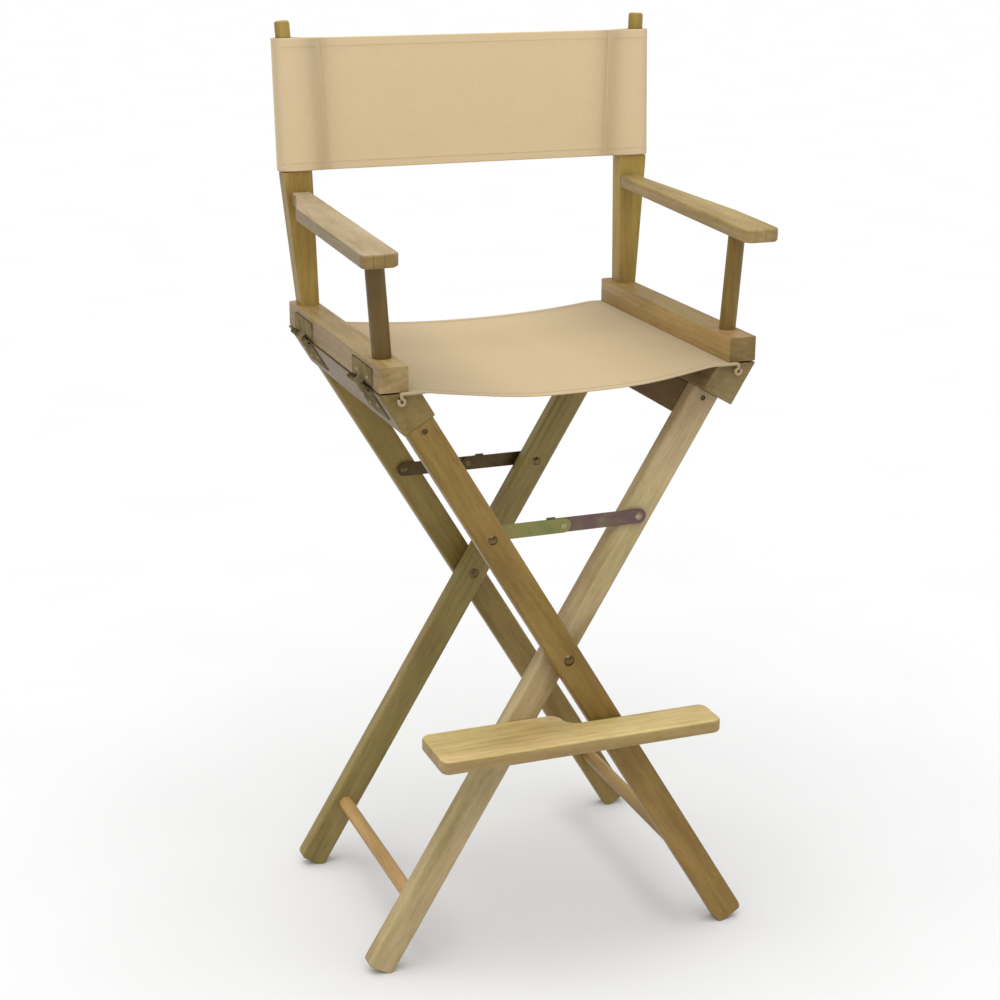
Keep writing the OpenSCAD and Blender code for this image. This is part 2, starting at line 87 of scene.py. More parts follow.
# ------------------------------------------------------------------ node helpers
class Mat:
    def __init__(self, name):
        self.m = bpy.data.materials.new(name)
        self.m.use_nodes = True
        self.t = self.m.node_tree
        self.t.nodes.clear()
        out = self.n("ShaderNodeOutputMaterial")
        self.b = self.n("ShaderNodeBsdfPrincipled")
        self.l(self.b.outputs[0], out.inputs[0])

    def n(self, kind, **kw):
        x = self.t.nodes.new(kind)
        for k, v in kw.items():
            setattr(x, k, v)
        return x

    def l(self, a, b):
        self.t.links.new(a, b)

    def set(self, socket, value):
        if hasattr(value, "is_linked"):
            self.l(value, socket)
        else:
            socket.default_value = value

    def math(self, op, a, b=0.0, c=0.0, clamp=False):
        x = self.n("ShaderNodeMath", operation=op, use_clamp=clamp)
        self.set(x.inputs[0], a)
        self.set(x.inputs[1], b)
        self.set(x.inputs[2], c)
        return x.outputs[0]

    def mapping(self, vec, loc=(0, 0, 0), rot=(0, 0, 0), scale=(1, 1, 1)):
        x = self.n("ShaderNodeMapping")
        self.l(vec, x.inputs["Vector"])
        x.inputs["Location"].default_value = loc
        x.inputs["Rotation"].default_value = [rad(v) for v in rot]
        x.inputs["Scale"].default_value = scale
        return x.outputs[0]

    def noise(self, vec, scale, detail=2.0, rough=0.5, dist=0.0, out=0):
        x = self.n("ShaderNodeTexNoise")
        self.l(vec, x.inputs["Vector"])
        x.inputs["Scale"].default_value = scale
        x.inputs["Detail"].default_value = detail
        x.inputs["Roughness"].default_value = rough
        x.inputs["Distortion"].default_value = dist
        return x.outputs[out]

    def remap(self, v, a, b, c=0.0, d=1.0):
        x = self.n("ShaderNodeMapRange")
        self.l(v, x.inputs["Value"])
        for name, val in (("From Min", a), ("From Max", b), ("To Min", c), ("To Max", d)):
            x.inputs[name].default_value = val
        return x.outputs[0]

    def ramp(self, fac, stops):
        x = self.n("ShaderNodeValToRGB")
        self.l(fac, x.inputs[0])
        el = x.color_ramp.elements
        while len(el) < len(stops):
            el.new(0.5)
        for e_, (p, c) in zip(el, stops):
            e_.position = p
            e_.color = (c[0], c[1], c[2], 1)
        return x.outputs[0]

    def mix(self, fac, a, b, mode="MIX"):
        x = self.n("ShaderNodeMix", data_type="RGBA", blend_type=mode)
        self.set(x.inputs["Factor"], fac)
        for s, v in ((x.inputs[6], a), (x.inputs[7], b)):
            if hasattr(v, "is_linked"):
                self.l(v, s)
            else:
                s.default_value = (v[0], v[1], v[2], 1)
        return x.outputs[2]

    def bump(self, height, strength, distance, normal=None):
        x = self.n("ShaderNodeBump")
        x.inputs["Strength"].default_value = strength
        x.inputs["Distance"].default_value = distance
        self.l(height, x.inputs["Height"])
        if normal is not None:
            self.l(normal, x.inputs["Normal"])
        return x.outputs[0]


# ------------------------------------------------------------------ materials
def wood(name, tone, rot, seed, rough=0.46, spread=1.0, knot=None, bands=0.16, red=0.0, faces=(), seams=()):
    """Pale tropical hardwood: growth bands round a pith outside the piece, long fibres, short dark vessel lines and blotchy tone."""
    t = Mat(name)
    tc = t.n("ShaderNodeTexCoord")
    p = t.mapping(tc.outputs["Object"], rot=rot)
    s1, s2, s3 = (math.sin(seed * 12.9898) * 43.7) % 1, (math.sin(seed * 78.233) * 17.3) % 1, (math.sin(seed * 3.71) * 91.1) % 1
    p = t.mapping(p, loc=(0.07 + 0.05 * s1, -0.05 - 0.06 * s2, 3.0 * s3))
    warp = t.noise(t.mapping(p, scale=(1, 1, 0.16)), 14, 2, out=1)
    v1 = t.n("ShaderNodeVectorMath", operation="SUBTRACT")
    t.l(warp, v1.inputs[0])
    v1.inputs[1].default_value = (0.5, 0.5, 0.5)
    v2 = t.n("ShaderNodeVectorMath", operation="MULTIPLY_ADD")
    t.l(v1.outputs[0], v2.inputs[0])
    v2.inputs[1].default_value = (0.02, 0.02, 0.0)
    t.l(p, v2.inputs[2])
    rings = t.n("ShaderNodeTexWave", wave_type="RINGS", rings_direction="Z", wave_profile="SAW")
    t.l(t.mapping(v2.outputs[0], scale=(1, 1, 0.05)), rings.inputs["Vector"])
    rings.inputs["Scale"].default_value = 38
    rings.inputs["Distortion"].default_value = 2.2
    rings.inputs["Detail"].default_value = 3
    rings.inputs["Detail Scale"].default_value = 1.4
    ring = rings.outputs["Fac"]
    streak = t.noise(t.mapping(v2.outputs[0], scale=(1, 1, 0.03)), 150, 3, 0.6)
    fibre = t.noise(t.mapping(v2.outputs[0], scale=(1, 1, 0.016)), 900, 2, 0.6)
    blotch = t.noise(t.mapping(p, scale=(1, 1, 0.22)), 26, 4, 0.6)
    vessel_n = t.noise(t.mapping(p, scale=(1, 1, 0.055)), 1250, 1, 0.5)
    vessel = t.remap(vessel_n, 0.60, 0.70)
    f = t.math("MULTIPLY_ADD", ring, bands, 0.5 - bands / 2)
    f = t.math("MULTIPLY_ADD", t.math("SUBTRACT", streak, 0.5), 0.62 * spread, f)
    f = t.math("MULTIPLY_ADD", t.math("SUBTRACT", fibre, 0.5), 0.45 * spread, f)
    f = t.math("MULTIPLY_ADD", t.math("SUBTRACT", blotch, 0.5), 2.1 * spread, f, clamp=True)
    r, g, b = tone
    dark = (r * 0.66, g * 0.61, b * 0.50)
    mid = (r * 0.98, g * 0.97, b * 0.95)
    light = (r * 1.24, g * 1.26, b * 1.36)
    col = t.ramp(f, [(0.0, dark), (0.5, mid), (1.0, light)])
    # slow drift between a greener and a pinker cast
    cast = t.remap(t.noise(t.mapping(p, scale=(1, 1, 0.22)), 22, 2), 0.3, 0.7)
    col = t.mix(cast, t.mix(1.0, col, (0.99 + red, 1.015, 0.88), "MULTIPLY"), t.mix(1.0, col, (1.04 + red, 0.98, 1.06), "MULTIPLY"))
    col = t.mix(t.math("MULTIPLY", vessel, 0.34), col, (r * 0.34, g * 0.27, b * 0.2))
    nx_ = t.n("ShaderNodeSeparateXYZ")
    t.l(tc.outputs["Normal"], nx_.inputs[0])
    if faces:
        # painted light and shade: faces turned along the given axis and sign are made lighter or darker by the given
        # factor, standing in for how the light falls on them
        for axis, sign, factor in faces:
            side = t.remap(t.math("MULTIPLY", nx_.outputs[axis], sign), 0.45, 0.85)
            col = t.mix(side, col, t.mix(1.0, col, factor, "MULTIPLY"))
    if seams:
        # glue lines between the strips that the piece is laminated from, which show on the end grain
        ends = t.remap(t.math("MULTIPLY", nx_.outputs[1], -1.0), 0.35, 0.8, 0.12, 1.0)
        xx = t.n("ShaderNodeSeparateXYZ")
        t.l(tc.outputs["Object"], xx.inputs[0])
        for at_, tint in seams:
            line = t.math("ABSOLUTE", t.math("SUBTRACT", t.math("MULTIPLY_ADD", t.math("SUBTRACT", blotch, 0.5), 0.0006, xx.outputs[0]), at_))
            col = t.mix(t.math("MULTIPLY", t.remap(line, 0.0003, 0.0009, tint, 0.0), ends), col, (r * 0.45, g * 0.38, b * 0.25))
    if knot:
        kx, ky, kz, kr = knot
        d = t.n("ShaderNodeVectorMath", operation="DISTANCE")
        t.l(t.mapping(tc.outputs["Object"], scale=(1, 0.8, 1)), d.inputs[0])
        d.inputs[1].default_value = (kx, ky * 0.8, kz)
        kd = t.math("ADD", d.outputs["Value"], t.math("MULTIPLY", t.math("SUBTRACT", blotch, 0.5), 0.006))
        col = t.mix(t.remap(kd, kr * 0.5, kr * 1.4, 0.85, 0.0), col, (0.10, 0.055, 0.025))
    t.l(col, t.b.inputs["Base Color"])
    ro = t.math("MULTIPLY_ADD", t.math("SUBTRACT", fibre, 0.5), 0.35, rough)
    ro = t.math("MULTIPLY_ADD", vessel, 0.18, ro, clamp=True)
    t.l(ro, t.b.inputs["Roughness"])
    h = t.math("MULTIPLY_ADD", vessel, -0.9, t.math("MULTIPLY", fibre, 0.8))
    nb = t.bump(h, 0.35, 0.00025)
    nb = t.bump(streak, 0.25, 0.0006, nb)
    t.l(nb, t.b.inputs["Normal"])
    t.b.inputs["IOR"].default_value = 1.5
    t.b.inputs["Specular IOR Level"].default_value = 0.25
    t.b.inputs["Coat Weight"].default_value = 0.045
    t.b.inputs["Coat Roughness"].default_value = 0.30
    return t.m


def canvas_mat(name, base, pitch=0.0009, painted_shade_bands=()):
    """Plain-weave cotton duck on a UV map in metres: over-and-under threads, uneven yarns, faint soiling, and painted
    shade bands along the cloth.
    """
    t = Mat(name)
    uv = t.n("ShaderNodeUVMap", uv_map="cloth")
    sep = t.n("ShaderNodeSeparateXYZ")
    wob = t.noise(uv.outputs[0], 60, 2, out=1)
    add = t.n("ShaderNodeVectorMath", operation="MULTIPLY_ADD")
    t.l(wob, add.inputs[0])
    add.inputs[1].default_value = (0.0011, 0.0011, 0)
    t.l(uv.outputs[0], add.inputs[2])
    t.l(add.outputs[0], sep.inputs[0])
    k = math.pi / pitch
    su = t.math("SINE", t.math("MULTIPLY", sep.outputs[0], k))
    sv = t.math("SINE", t.math("MULTIPLY", sep.outputs[1], k))
    warp_h = t.math("POWER", t.math("ABSOLUTE", su), 0.6)
    weft_h = t.math("POWER", t.math("ABSOLUTE", sv), 0.6)
    over = t.remap(t.math("MULTIPLY", su, sv), -0.25, 0.25)
    h = t.math("MULTIPLY", warp_h, over)
    h2 = t.math("MULTIPLY", weft_h, t.math("SUBTRACT", 1.0, over))
    h = t.math("MAXIMUM", h, h2)
    slub_u = t.noise(t.mapping(uv.outputs[0], scale=(0.03, 1, 1)), 1500, 2)
    slub_v = t.noise(t.mapping(uv.outputs[0], scale=(1, 0.03, 1)), 1500, 2)
    yarn = t.math("ADD", t.math("MULTIPLY", slub_u, 0.5), t.math("MULTIPLY", slub_v, 0.5))
    big = t.noise(uv.outputs[0], 9, 3, 0.55)
    r, g, b = base
    col = t.ramp(h, [(0.0, (r * 0.80, g * 0.78, b * 0.74)), (0.55, (r * 0.98, g * 0.98, b * 0.97)), (1.0, (r * 1.05, g * 1.05, b * 1.05))])
    lo = t.remap(yarn, 0.3, 0.7, 0.95, 1.05)
    comb = t.n("ShaderNodeCombineColor")
    for i in range(3):
        t.l(lo, comb.inputs[i])
    col = t.mix(1.0, col, comb.outputs[0], "MULTIPLY")
    col = t.mix(t.remap(big, 0.45, 0.75, 0.0, 0.10), col, (r * 0.86, g * 0.83, b * 0.76))
    su0 = t.n("ShaderNodeSeparateXYZ")
    t.l(uv.outputs[0], su0.inputs[0])
    for centre, at_, sigma, amount in painted_shade_bands:
        # painted shade: a darker band at distance at_ from centre along the cloth (a ramp that darkens outwards when
        # amount is negative), standing in for the shade where the cloth curves over the posts and near the rails
        d = t.math("DIVIDE", t.math("SUBTRACT", t.math("ABSOLUTE", t.math("SUBTRACT", su0.outputs[0], centre)), at_), sigma)
        if amount < 0:
            painted_shade_mk = t.math("MULTIPLY", t.remap(d, -1.0, 1.0), -amount)
        else:
            painted_shade_mk = t.math("DIVIDE", amount, t.math("POWER", t.math("MULTIPLY_ADD", d, d, 1.0), 2.0))
        col = t.mix(painted_shade_mk, col, (r * 0.16, g * 0.15, b * 0.16))
    t.l(col, t.b.inputs["Base Color"])
    t.l(t.remap(h, 0, 1, 0.95, 0.84), t.b.inputs["Roughness"])
    nb = t.bump(h, 0.30, 0.00022)
    nb = t.bump(yarn, 0.20, 0.0004, nb)
    t.l(nb, t.b.inputs["Normal"])
    t.b.inputs["Sheen Weight"].default_value = 0.12
    t.b.inputs["Sheen Roughness"].default_value = 0.5
    t.b.inputs["Specular IOR Level"].default_value = 0.25
    return t.m


def thread_mat(name, base):
    t = Mat(name)
    tc = t.n("ShaderNodeTexCoord")
    n1 = t.noise(tc.outputs["Object"], 2600, 2)
    r, g, b = base
    t.l(t.ramp(n1, [(0.3, (r * 0.8, g * 0.8, b * 0.8)), (0.7, (r, g, b))]), t.b.inputs["Base Color"])
    t.l(t.remap(n1, 0, 1, 0.6, 0.85), t.b.inputs["Roughness"])
    t.l(t.bump(n1, 0.3, 0.0002), t.b.inputs["Normal"])
    return t.m


def metal(name, stops, rough=0.34, scale=30, tarnish=(0.10, 0.075, 0.04), amount=0.35, brushed=None, metallic=1.0, bump=0.12, edge=None):
    """Plated steel: drifting interference colours or brass tone, tarnish specks, fine scratches."""
    t = Mat(name)
    tc = t.n("ShaderNodeTexCoord")
    p = tc.outputs["Object"]
    drift = t.noise(p, scale, 3, 0.55, 0.6)
    col = t.ramp(t.remap(drift, 0.32, 0.68), stops)
    spots = t.remap(t.noise(p, scale * 14, 3, 0.7), 0.52, 0.74)
    wide = t.remap(t.noise(p, scale * 2.2, 2), 0.42, 0.66)
    tar = t.math("MULTIPLY", t.math("MULTIPLY", spots, wide), amount * 2, clamp=True)
    col = t.mix(tar, col, tarnish)
    t.l(col, t.b.inputs["Base Color"])
    t.b.inputs["Metallic"].default_value = metallic
    if edge:
        t.b.inputs["Specular Tint"].default_value = (edge[0], edge[1], edge[2], 1)
    sc = t.noise(t.mapping(p, scale=brushed or (1, 1, 1)), 900, 2, 0.6)
    ro = t.math("MULTIPLY_ADD", t.math("SUBTRACT", sc, 0.5), 0.3, rough)
    ro = t.math("MULTIPLY_ADD", tar, 0.3, ro, clamp=True)
    t.l(ro, t.b.inputs["Roughness"])
    t.l(t.bump(sc, bump, 0.0002), t.b.inputs["Normal"])
    return t.m


# ------------------------------------------------------------------ wood pieces
GY = (90, 0, 0)        # grain along Y
GX = (0, -90, 0)       # grain along X
G_OUT = (0, 31, 0)     # grain along a leg of the outer frame
G_IN = (0, -31, 0)
GZ = (0, 0, 0)


def sharp_groups(bm, angle=24, low=0.032):
    """Connected groups of sharp edges; rims of small holes are left out."""
    sharp = {e for e in bm.edges if len(e.link_faces) == 2 and e.calc_face_angle(0) > rad(angle)}
    out, seen = [], set()
    for e0 in sorted(sharp, key=lambda q: q.index):
        if e0 in seen:
            continue
        stack, group = [e0], []
        seen.add(e0)
        while stack:
            e1 = stack.pop()
            group.append(e1)
            for v in e1.verts:
                for e2 in v.link_edges:
                    if e2 in sharp and e2 not in seen:
                        seen.add(e2)
                        stack.append(e2)
        co = [v.co for e1 in group for v in e1.verts]
        lo = [min(c[i] for c in co) for i in range(3)]
        hi = [max(c[i] for c in co) for i in range(3)]
        if math.dist(lo, hi) > low:
            out += group
    return out


def timber(node, body, mat, width, keep=None, passes=None, segments=3, name=None):
    """A copy of a CAD node with its long edges rounded over. keep(edge) says which sharp edges to round; passes is [(width, test)]."""
    me = NODES[node].data.copy()
    for a in [a.name for a in me.attributes if a.name == "custom_normal"]:
        me.attributes.remove(me.attributes[a])
    ob = bpy.data.objects.new(name or "wood_" + node, me)
    SC.collection.objects.link(ob)
    bm = bmesh.new()
    bm.from_mesh(me)
    bmesh.ops.remove_doubles(bm, verts=bm.verts, dist=2e-5)
    bmesh.ops.dissolve_limit(bm, angle_limit=rad(0.6), verts=bm.verts, edges=bm.edges, use_dissolve_boundaries=False)
    for w, test in passes or [(width, keep or (lambda e_: True))]:
        bm.edges.index_update()
        es = [e_ for e_ in sharp_groups(bm) if test(e_)]
        if es:
            bmesh.ops.bevel(bm, geom=es, offset=w * MM, offset_type="OFFSET", segments=segments, profile=0.5, affect="EDGES", clamp_overlap=True, miter_outer="SHARP")
    bmesh.ops.remove_doubles(bm, verts=bm.verts, dist=1e-5)
    bmesh.ops.recalc_face_normals(bm, faces=bm.faces)
    for f_ in bm.faces:
        f_.smooth = True
    for e_ in bm.edges:
        e_.smooth = not (len(e_.link_faces) == 2 and e_.calc_face_angle(0) > rad(28))
    bm.to_mesh(me)
    bm.free()
    me.materials.clear()
    me.materials.append(mat)
    wn = ob.modifiers.new("normals", "WEIGHTED_NORMAL")
    wn.keep_sharp = True
    wn.weight = 80
    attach(ob, body)
    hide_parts(node)
    return ob


def mid(e_):
    return (e_.verts[0].co + e_.verts[1].co) / 2


def ln(e_):
    return e_.calc_length()


tones = {
    "leg_front_outer": (0.237, 0.149, 0.037), "leg_rear_outer": (0.226, 0.165, 0.048),
    "leg_front_inner": (0.400, 0.322, 0.166), "leg_rear_inner": (0.245, 0.192, 0.063),
    "seat_rail_left": (0.235, 0.165, 0.068), "seat_rail_right": (0.215, 0.153, 0.064),
    "arm_rail_left": (0.262, 0.187, 0.085), "arm_rail_right": (0.235, 0.157, 0.058),
    "armrest_left": (0.285, 0.212, 0.108), "armrest_right": (0.305, 0.220, 0.086),
    "back_post_left": (0.365, 0.256, 0.063), "back_post_right": (0.342, 0.238, 0.050),
    "front_post_left": (0.136, 0.083, 0.022), "front_post_right": (0.206, 0.132, 0.030),
    "footrest_board": (0.300, 0.210, 0.082),
    # painted shade: the top boards get a much darker tone for the shade they sit in
    "top_board_left": (0.150, 0.095, 0.030), "top_board_right": (0.160, 0.104, 0.036),
    "dowel_left": (0.380, 0.245, 0.086), "dowel_right": (0.310, 0.205, 0.075),
    "hem_rod_left": (0.30, 0.22, 0.13), "hem_rod_right": (0.30, 0.22, 0.13),
}
# painted light and shade: per piece, (axis, sign, factor) for faces turned up, to the front or to the side, made
# lighter or darker for the light falling on them
FACE_LIGHT_SHADE = {
    "seat_rail_left": [(0, -1, (0.60, 0.53, 0.36)), (1, -1, (0.87, 0.87, 0.68))],
    "armrest_left": [(2, 1, (1.26, 1.35, 1.62)), (1, -1, (0.92, 0.82, 0.58)), (0, -1, (0.78, 0.78, 0.72))],
    "armrest_right": [(2, 1, (1.04, 1.06, 1.0))],
    "arm_rail_left": [(2, 1, (1.33, 1.33, 1.33)), (1, -1, (1.2, 1.2, 1.2)), (0, -1, (0.90, 0.83, 0.70))],
    "arm_rail_right": [(2, 1, (1.15, 1.15, 1.1)), (0, -1, (1.5, 1.5, 1.5)), (1, -1, (0.80, 0.80, 0.68))],
    "back_post_left": [(0, -1, (0.78, 0.76, 0.72))],
    "footrest_board": [(2, 1, (1.72, 1.88, 2.08))],
}
SEAMS = {"armrest_left": [(-0.2465, 0.7), (-0.2335, 0.6)], "armrest_right": [(0.2410, 0.5)]}
foot = lambda e_: 0.001 < mid(e_).z < 0.045 and abs(e_.verts[0].co.y - e_.verts[1].co.y) < 0.0165
top = lambda e_: mid(e_).z > 0.60
for i, (node, body, rot) in enumerate([("leg_front_outer", "outer_frame", G_OUT), ("leg_rear_outer", "outer_frame", G_OUT),
                                       ("leg_front_inner", "inner_frame", G_IN), ("leg_rear_inner", "inner_frame", G_IN)]):
    mt = wood("wood_" + node, tones[node], rot, 1.3 + i, red={"leg_front_inner": 0.025, "leg_rear_outer": 0.03}.get(node, 0.0))
    timber(node, body, mt, 0, passes=[(2.6, foot), (1.2, lambda e_: top(e_) and abs(mid(e_).x) > 0.15)], segments=4)
groove = lambda e_: math.hypot(abs(mid(e_).x) - 0.214, mid(e_).z - 0.7525) < 0.0062 or (abs(abs(mid(e_).x) - 0.214) < 0.002 and mid(e_).z > 0.75)
for i, (side, body) in enumerate([("left", "outer_frame"), ("right", "inner_frame")]):
    n_ = "seat_rail_" + side
    timber(n_, body, wood("wood_" + n_, tones[n_], GY, 6.1 + i, faces=FACE_LIGHT_SHADE.get(n_, ())), 1.6, keep=lambda e_: not groove(e_))
    n_ = "top_board_" + side
    timber(n_, body, wood("wood_" + n_, tones[n_], GY, 8.4 + i), 1.0, segments=2)
for i, side in enumerate(["left", "right"]):
    body = side + "_arm"
    n_ = "arm_rail_" + side
    timber(n_, body, wood("wood_" + n_, tones[n_], GY, 10.7 + i, bands=0.26, faces=FACE_LIGHT_SHADE[n_]), 3.0,
           passes=[(6.0, lambda e_: mid(e_).y > 0.222 and abs((e_.verts[0].co - e_.verts[1].co).normalized().z) > 0.9), (2.8, lambda e_: True)], segments=4)
    n_ = "armrest_" + side
    kn = (-0.2585, 0.060, 0.915, 0.0045) if side == "left" else None
    timber(n_, body, wood("wood_" + n_, tones[n_], GY, 13.9 + i, bands=0.18, knot=kn, faces=FACE_LIGHT_SHADE[n_], seams=SEAMS[n_]), 3.6, segments=4)
    n_ = "back_post_" + side
    timber(n_, body, wood("wood_" + n_, tones[n_], GZ, 16.2 + i, faces=FACE_LIGHT_SHADE.get(n_, ())), 4.0,
           passes=[(4.5, lambda e_: ln(e_) > 0.10), (1.6, lambda e_: 0.95 < mid(e_).z < 0.975)], segments=4)
timber("footrest_board", "footrest", wood("wood_footrest_board", tones["footrest_board"], GX, 19.4, bands=0.18, faces=FACE_LIGHT_SHADE["footrest_board"]), 4.0, segments=4)


def paint(node, mat):
    o = NODES[node]
    o.data.materials.clear()
    o.data.materials.append(mat)


for i, (node, rot) in enumerate([("front_post_left", GZ), ("front_post_right", GZ), ("dowel_left", GY), ("dowel_right", GY),
                                 ("hem_rod_left", GY), ("hem_rod_right", GY)]):
    paint(node, wood("wood_" + node, tones[node], rot, 22.8 + i, bands=0.2))


# ------------------------------------------------------------------ metal
zinc_green = metal("zinc_yellow_green", [(0.0, (0.15, 0.19, 0.07)), (0.45, (0.23, 0.23, 0.08)), (1.0, (0.29, 0.22, 0.095))], 0.38, 22, amount=0.2, brushed=(0.05, 1, 1))
zinc_pink = metal("zinc_mauve", [(0.0, (0.17, 0.115, 0.10)), (0.5, (0.15, 0.092, 0.09)), (1.0, (0.195, 0.16, 0.095))], 0.38, 22, amount=0.2, brushed=(0.05, 1, 1))
zinc_dark = metal("zinc_dark", [(0.0, (0.12, 0.08, 0.040)), (0.5, (0.082, 0.058, 0.030)), (1.0, (0.14, 0.108, 0.045))], 0.42, 22, amount=0.3, brushed=(0.05, 1, 1))
steel_dull = metal("zinc_dull", [(0.0, (0.34, 0.32, 0.26)), (1.0, (0.48, 0.45, 0.36))], 0.40, 60, amount=0.35)
brass_plate = metal("brass_plate", [(0.0, (0.19, 0.158, 0.102)), (0.5, (0.27, 0.225, 0.150)), (1.0, (0.37, 0.31, 0.21))], 0.42, 60, amount=0.5, edge=(0.50, 0.43, 0.29))
brass_low = metal("brass_plate_worn", [(0.0, (0.125, 0.104, 0.068)), (0.5, (0.195, 0.163, 0.108)), (1.0, (0.275, 0.230, 0.150))], 0.46, 60, amount=0.6, edge=(0.38, 0.33, 0.235))
bronze = metal("bronze_bolt", [(0.0, (0.115, 0.080, 0.036)), (1.0, (0.185, 0.130, 0.060))], 0.24, 60, amount=0.4, edge=(0.25, 0.18, 0.09))
screw_dark = metal("screw_dark", [(0.0, (0.050, 0.038, 0.022)), (1.0, (0.105, 0.082, 0.046))], 0.26, 80, amount=0.5, edge=(0.25, 0.2, 0.12))
screw_bright = metal("screw_worn", [(0.0, (0.22, 0.18, 0.10)), (1.0, (0.42, 0.36, 0.24))], 0.24, 80, amount=0.4, edge=(0.5, 0.42, 0.28))
for node, mt in {
    "stay_front_a": zinc_green, "stay_front_b": zinc_pink, "stay_rear_a": zinc_dark, "stay_rear_b": zinc_dark,
    "stay_front_rivet": screw_bright, "stay_front_end_rivet": screw_bright, "stay_rear_rivet": bronze, "stay_rear_end_rivet": bronze,
    "stay_bolt_front": bronze, "stay_bolt_rear": bronze, "pivot_bolts": bronze, "pivot_washers": steel_dull, "pivot_nuts": steel_dull,
    "footrest_bolt": bronze, "footrest_bracket": steel_dull, "footrest_screws": screw_dark, "footrest_peg": steel_dull,
    "board_screws_left": screw_dark, "board_screws_right": screw_dark,
    "hinge_leaf_low_left": brass_low, "hinge_leaf_low_right": brass_low, "hinge_leaf_up_left": brass_plate, "hinge_leaf_up_right": brass_plate,
    "hinge_pins_left": screw_dark, "hinge_pins_right": screw_dark,
    "hinge_screws_low_left": screw_bright, "hinge_screws_low_right": screw_bright,
    "hinge_screws_up_left": screw_bright, "hinge_screws_up_right": screw_bright,
}.items():
    paint(node, mt)


# ------------------------------------------------------------------ canvas
def cloth_solid(name, P, UV, thick, mats):
    """A closed sheet round the middle surface P[i][j], thick(i, j) metres through, with softly rounded cut edges."""
    ni, nj = len(P), len(P[0])
    N = [[None] * nj for _ in range(ni)]
    for i in range(ni):
        for j in range(nj):
            du = P[min(i + 1, ni - 1)][j] - P[max(i - 1, 0)][j]
            dv = P[i][min(j + 1, nj - 1)] - P[i][max(j - 1, 0)]
            N[i][j] = du.cross(dv).normalized()
    bm = bmesh.new()
    uvl = bm.loops.layers.uv.new("cloth")
    tv = [[bm.verts.new(P[i][j] + N[i][j] * thick(i, j) / 2) for j in range(nj)] for i in range(ni)]
    bv = [[bm.verts.new(P[i][j] - N[i][j] * thick(i, j) / 2) for j in range(nj)] for i in range(ni)]
    uvs = {}
    for i in range(ni):
        for j in range(nj):
            uvs[tv[i][j]] = UV[i][j]
            uvs[bv[i][j]] = UV[i][j]
    for i in range(ni - 1):
        for j in range(nj - 1):
            bm.faces.new((tv[i][j], tv[i + 1][j], tv[i + 1][j + 1], tv[i][j + 1]))
            bm.faces.new((bv[i][j], bv[i][j + 1], bv[i + 1][j + 1], bv[i + 1][j]))
    ring = [(i, 0) for i in range(ni)] + [(ni - 1, j) for j in range(1, nj)] + [(i, nj - 1) for i in range(ni - 2, -1, -1)] + [(0, j) for j in range(nj - 2, 0, -1)]
    edge = []
    for k, (i, j) in enumerate(ring):
        ia, ja = ring[k - 1]
        ib, jb = ring[(k + 1) % len(ring)]
        tang = (P[ib][jb] - P[ia][ja])
        outw = tang.cross(N[i][j]).normalized()
        v = bm.verts.new(P[i][j] + outw * thick(i, j) * 0.35)
        uvs[v] = UV[i][j]
        edge.append(v)
    n_r = len(ring)
    for k in range(n_r):
        i, j = ring[k]
        i2, j2 = ring[(k + 1) % n_r]
        e1, e2 = edge[k], edge[(k + 1) % n_r]
        bm.faces.new((tv[i2][j2], tv[i][j], e1, e2))
        bm.faces.new((e2, e1, bv[i][j], bv[i2][j2]))
    bmesh.ops.recalc_face_normals(bm, faces=bm.faces)
    for f_ in bm.faces:
        f_.smooth = True
        for lp in f_.loops:
            lp[uvl].uv = uvs[lp.vert]
    return bm, uvl


def stitch_row(bm, uvl, pts, nrm, pitch=0.0036, length=0.0027, r=0.00030):
    """A row of short thread stitches lying along pts, proud of the cloth along nrm."""
    total = [0.0]
    for a, b in zip(pts, pts[1:]):
        total.append(total[-1] + (b - a).length)

    def at(s):
        for k in range(len(pts) - 1):
            if s <= total[k + 1] or k == len(pts) - 2:
                u = (s - total[k]) / max(total[k + 1] - total[k], 1e-9)
                return pts[k].lerp(pts[k + 1], u), nrm[k].lerp(nrm[k + 1], u).normalized()

    s = pitch * 0.5
    while s + length < total[-1]:
        a, na = at(s)
        b, _ = at(s + length)
        d = (b - a).normalized()
        side = d.cross(na).normalized()
        rings_ = []
        for u, q, lift in ((0.0, 0.25, -0.0002), (0.18, 0.85, 0.00012), (0.5, 1.0, 0.00025), (0.82, 0.85, 0.00012), (1.0, 0.25, -0.0002)):
            c = a.lerp(b, u) + na * lift
            rings_.append([bm.verts.new(c + (side * math.cos(h * math.pi / 3) + na * math.sin(h * math.pi / 3)) * r * q) for h in range(6)])
        fs = []
        for q1, q2 in zip(rings_, rings_[1:]):
            for h in range(6):
                fs.append(bm.faces.new((q1[h], q1[(h + 1) % 6], q2[(h + 1) % 6], q2[h])))
        fs.append(bm.faces.new(list(reversed(rings_[0]))))
        fs.append(bm.faces.new(rings_[-1]))
        for f_ in fs:
            f_.material_index = 1
            f_.smooth = True
            for lp in f_.loops:
                lp[uvl].uv = (lp.vert.co.x, lp.vert.co.y)
        s += pitch


def finish_cloth(name, bm, mats):
    me = bpy.data.meshes.new(name)
    bm.to_mesh(me)
    bm.free()
    for q in mats:
        me.materials.append(q)
    ob = bpy.data.objects.new(name, me)
    SC.collection.objects.link(ob)
    return ob


def hem(d, w=0.011, extra=0.0004, soft=0.0012):
    """Extra thickness of a folded hem at distance d from the cut edge."""
    if d <= w:
        return extra
    return extra * max(0.0, 1 - (d - w) / soft)


